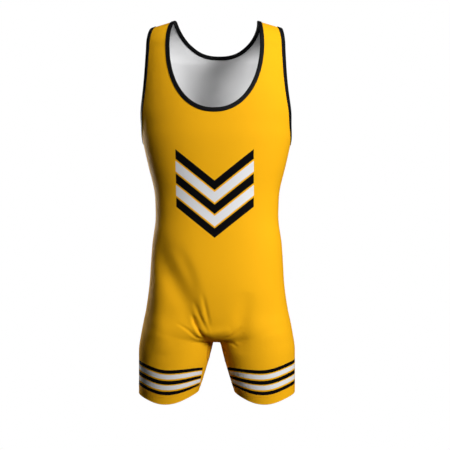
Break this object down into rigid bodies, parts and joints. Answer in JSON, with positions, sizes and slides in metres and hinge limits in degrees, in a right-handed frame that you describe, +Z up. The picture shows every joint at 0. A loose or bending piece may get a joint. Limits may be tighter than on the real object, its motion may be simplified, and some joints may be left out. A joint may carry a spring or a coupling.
{
  "type": "wrestling singlet",
  "caption": "Sleeveless one-piece wrestling singlet with short legs, scoop neck, bound armholes and striped thighs, filled out as worn.",
  "frame": {"origin": "midway between the tops of the two shoulder straps, at the height where the wearer's shoulders carry them", "axes": "+Z up towards the shoulders, -Y towards the front of the garment, +X to the right as seen from the front"},
  "size_m": [0.344, 0.2121, 0.8271],
  "materials": {
    "gold_knit": "smooth matte-satin stretch knit, gold outside, white reverse, printed black and white leg stripes",
    "black_binding": "matt black folded stretch binding"
  },
  "bodies": {
    "root": {"front_panel": "gold_knit", "back_panel": "gold_knit", "crotch_gusset": "gold_knit", "neck_binding": "black_binding", "armhole_binding_left": "black_binding", "armhole_binding_right": "black_binding"}
  },
  "joints": []
}
